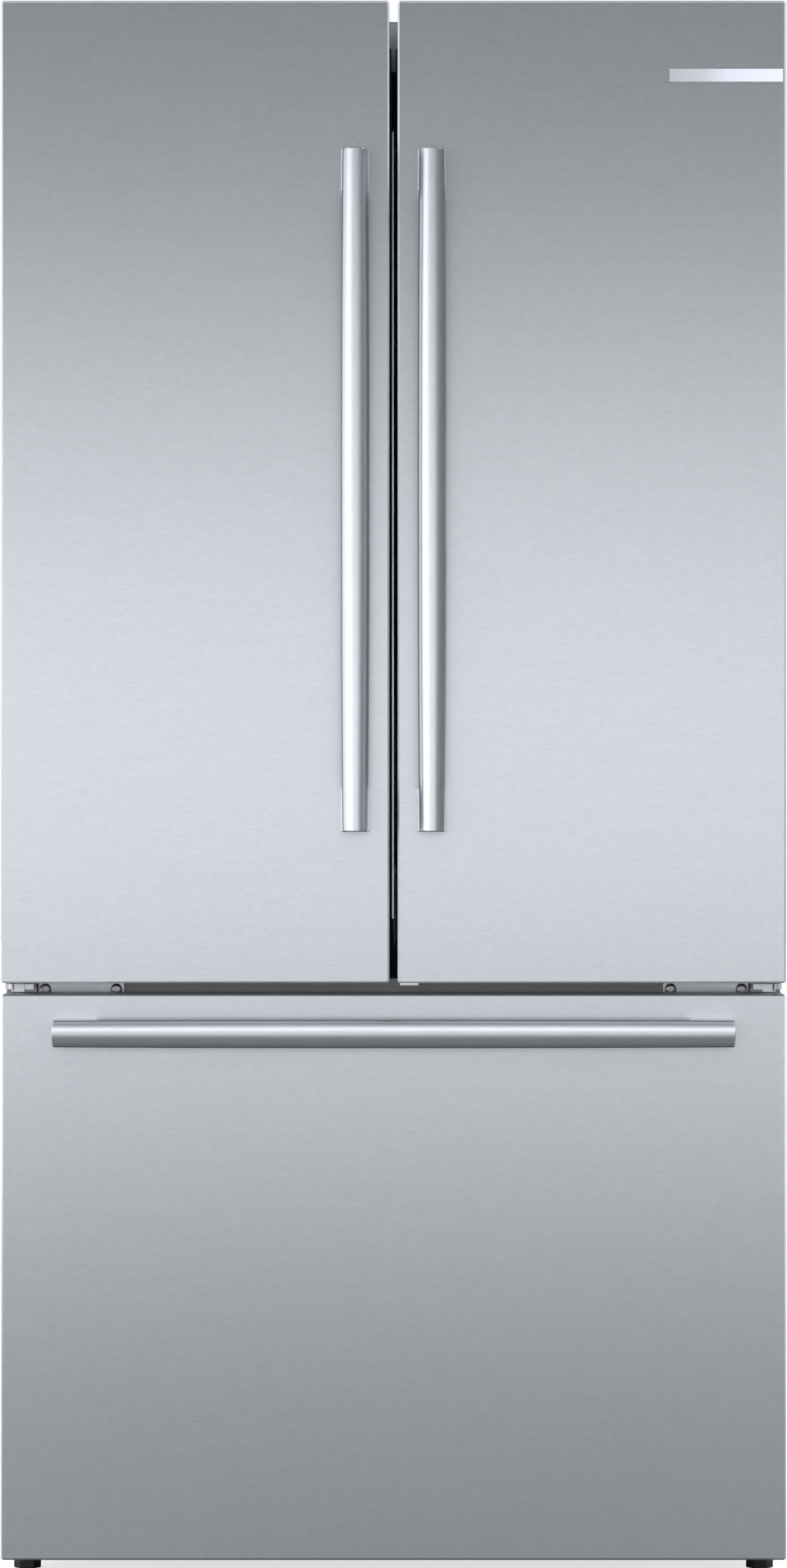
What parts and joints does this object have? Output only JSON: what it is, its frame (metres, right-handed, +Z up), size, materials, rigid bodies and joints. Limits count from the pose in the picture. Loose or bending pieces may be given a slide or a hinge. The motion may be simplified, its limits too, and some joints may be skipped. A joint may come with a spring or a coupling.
{
  "type": "french door refrigerator",
  "caption": "Free-standing bottom-freezer refrigerator with two side-hinged upper doors, a pull-out lower drawer, bar handles and brushed steel fronts.",
  "frame": {"origin": "on the floor under the middle of the overall box, handles included", "axes": "+Z up, -Y towards the user in front of the doors, +X to that user's right"},
  "size_m": [0.905, 0.79, 1.829],
  "materials": {
    "case_paint": "satin",
    "dark_paint": "satin",
    "back_sheet": "satin",
    "foam": "matte",
    "white_plastic": "satin",
    "zinc_steel": "satin",
    "black_rubber": "matte",
    "black_plastic": "satin",
    "shelf_glass": "gloss",
    "clear_plastic": "gloss",
    "coil_aluminium": "satin",
    "valve_brass": "satin",
    "brushed_steel": "satin",
    "cap_plastic": "matte",
    "badge_chrome": "gloss"
  },
  "bodies": {
    "cabinet": {"left_side_panel": "case_paint", "right_side_panel": "case_paint", "top_panel": "case_paint", "back_panel": "back_sheet", "base_pan": "dark_paint", "side_insulation": "foam", "level_insulation": "foam", "back_insulation": "foam", "fridge_liner": "white_plastic", "freezer_liner": "white_plastic", "front_header": "case_paint", "cross_rail": "dark_paint", "top_hinges": "zinc_steel", "hinge_covers": "case_paint", "centre_hinges": "zinc_steel", "screws": "zinc_steel", "front_feet": "black_rubber", "shelf_tracks": "zinc_steel", "shelf_frames": "white_plastic", "shelf_glass": "shelf_glass", "crisper_frame": "clear_plastic", "air_covers": "white_plastic", "evaporator": "coil_aluminium", "ice_maker": "white_plastic", "freezer_rails": "zinc_steel", "compressor": "dark_paint", "condenser": "dark_paint", "drain_pan": "black_plastic", "water_valve": "valve_brass", "power_gland": "black_plastic", "rear_cover": "dark_paint"},
    "left_door": {"left_door_skin": "brushed_steel", "left_door_foam": "foam", "left_door_liner": "white_plastic", "left_door_gasket": "black_rubber", "left_door_caps": "cap_plastic", "left_handle": "brushed_steel", "left_door_bins": "clear_plastic"},
    "mullion_bar": {"mullion": "black_plastic"},
    "right_door": {"right_door_skin": "brushed_steel", "right_door_foam": "foam", "right_door_liner": "white_plastic", "right_door_gasket": "black_rubber", "right_door_caps": "cap_plastic", "right_handle": "brushed_steel", "right_door_bins": "clear_plastic", "badge_plate": "badge_chrome"},
    "freezer_drawer": {"drawer_skin": "brushed_steel", "drawer_inner": "foam", "drawer_gasket": "black_rubber", "drawer_handle": "brushed_steel", "basket": "white_plastic", "drawer_rails": "zinc_steel"},
    "freezer_tray": {"tray": "white_plastic"},
    "left_crisper_drawer": {"left_crisper": "clear_plastic"},
    "right_crisper_drawer": {"right_crisper": "clear_plastic"},
    "pantry_drawer_body": {"pantry_drawer": "clear_plastic"},
    "freezer_fan": {"evaporator_fan": "black_plastic"},
    "machine_fan": {"condenser_fan": "black_plastic"},
    "rollers": {"rear_rollers": "black_plastic"}
  },
  "joints": [
    {"name": "left_door_swing", "type": "hinge", "parent": "cabinet", "child": "left_door", "pos_m": [-0.4325, -0.273, 1.255], "axis": [0, 0, -1], "range_deg": [0, 125]},
    {"name": "mullion_fold", "type": "hinge", "parent": "left_door", "child": "mullion_bar", "pos_m": [-0.044, -0.21, 1.233], "axis": [0, 0, 1], "range_deg": [0, 90]},
    {"name": "right_door_swing", "type": "hinge", "parent": "cabinet", "child": "right_door", "pos_m": [0.4325, -0.273, 1.255], "axis": [0, 0, 1], "range_deg": [0, 125]},
    {"name": "freezer_drawer_slide", "type": "slide", "parent": "cabinet", "child": "freezer_drawer", "axis": [0, -1, 0], "range_m": [0, 0.32]},
    {"name": "freezer_tray_slide", "type": "slide", "parent": "freezer_drawer", "child": "freezer_tray", "axis": [0, 1, 0], "range_m": [0, 0.15]},
    {"name": "left_crisper_slide", "type": "slide", "parent": "cabinet", "child": "left_crisper_drawer", "axis": [0, -1, 0], "range_m": [0, 0.075]},
    {"name": "right_crisper_slide", "type": "slide", "parent": "cabinet", "child": "right_crisper_drawer", "axis": [0, -1, 0], "range_m": [0, 0.075]},
    {"name": "pantry_slide", "type": "slide", "parent": "cabinet", "child": "pantry_drawer_body", "axis": [0, -1, 0], "range_m": [0, 0.075]},
    {"name": "freezer_fan_spin", "type": "hinge", "parent": "cabinet", "child": "freezer_fan", "pos_m": [0, 0.296, 0.56], "axis": [0, 1, 0], "continuous": true},
    {"name": "machine_fan_spin", "type": "hinge", "parent": "cabinet", "child": "machine_fan", "pos_m": [-0.074, 0.2919, 0.167], "axis": [1, 0, 0], "continuous": true},
    {"name": "rear_roller_spin", "type": "hinge", "parent": "cabinet", "child": "rollers", "pos_m": [0, 0.33, 0.018], "axis": [1, 0, 0], "continuous": true}
  ],
  "couplings": [
    {"joint": "mullion_fold", "follows": "left_door_swing", "ratio": 0.72}
  ]
}
